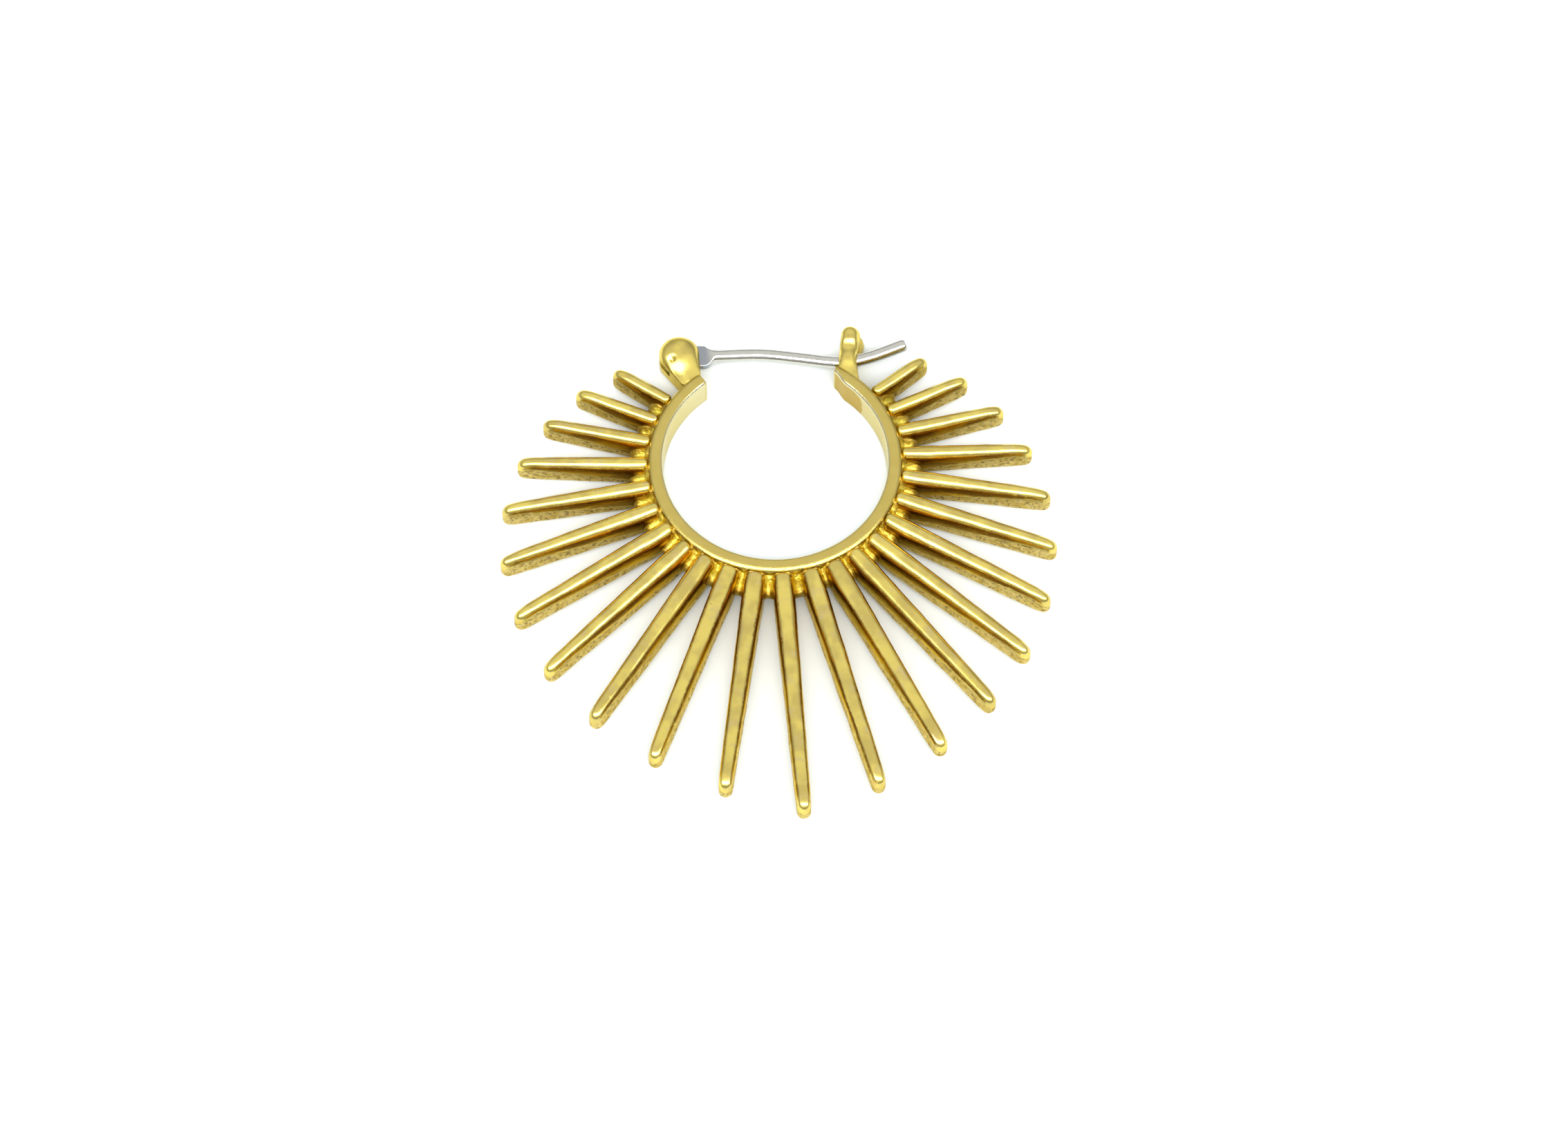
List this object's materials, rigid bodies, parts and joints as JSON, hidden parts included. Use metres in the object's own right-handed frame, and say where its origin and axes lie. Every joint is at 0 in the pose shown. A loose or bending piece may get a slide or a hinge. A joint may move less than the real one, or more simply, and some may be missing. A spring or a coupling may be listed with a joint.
{
  "type": "hoop earring",
  "caption": "Gold-tone sunburst hoop earring lying flat, with tapered rays around an open band and a hinged ear wire that closes into a fork.",
  "frame": {"origin": "under the middle of the earring's outline, on the surface that it lies on", "axes": "+Z is the hoop's thickness, up from the flat back; +Y points from the rays to the ear wire; +X from the hinge to the catch"},
  "size_m": [0.0424, 0.0416, 0.0028],
  "materials": {
    "gold_tone_brass": "polished, gold tone",
    "steel_wire": "drawn and polished"
  },
  "bodies": {
    "hoop": {"hoop_band": "gold_tone_brass", "ray_carrier": "gold_tone_brass", "ray_01": "gold_tone_brass", "ray_02": "gold_tone_brass", "ray_03": "gold_tone_brass", "ray_04": "gold_tone_brass", "ray_05": "gold_tone_brass", "ray_06": "gold_tone_brass", "ray_07": "gold_tone_brass", "ray_08": "gold_tone_brass", "ray_09": "gold_tone_brass", "ray_10": "gold_tone_brass", "ray_11": "gold_tone_brass", "ray_12": "gold_tone_brass", "ray_13": "gold_tone_brass", "ray_14": "gold_tone_brass", "ray_15": "gold_tone_brass", "ray_16": "gold_tone_brass", "ray_17": "gold_tone_brass", "ray_18": "gold_tone_brass", "ray_19": "gold_tone_brass", "ray_20": "gold_tone_brass", "ray_21": "gold_tone_brass", "ray_22": "gold_tone_brass", "ray_23": "gold_tone_brass", "hinge_knuckle": "gold_tone_brass", "catch_fork": "gold_tone_brass", "hinge_rivet": "steel_wire"},
    "wire": {"ear_wire": "steel_wire"}
  },
  "joints": [
    {"name": "ear_wire_hinge", "type": "hinge", "parent": "hoop", "child": "wire", "pos_m": [-0.00779, 0.01844, 0.0014], "axis": [0, 0, 1], "range_deg": [0, 100]}
  ]
}
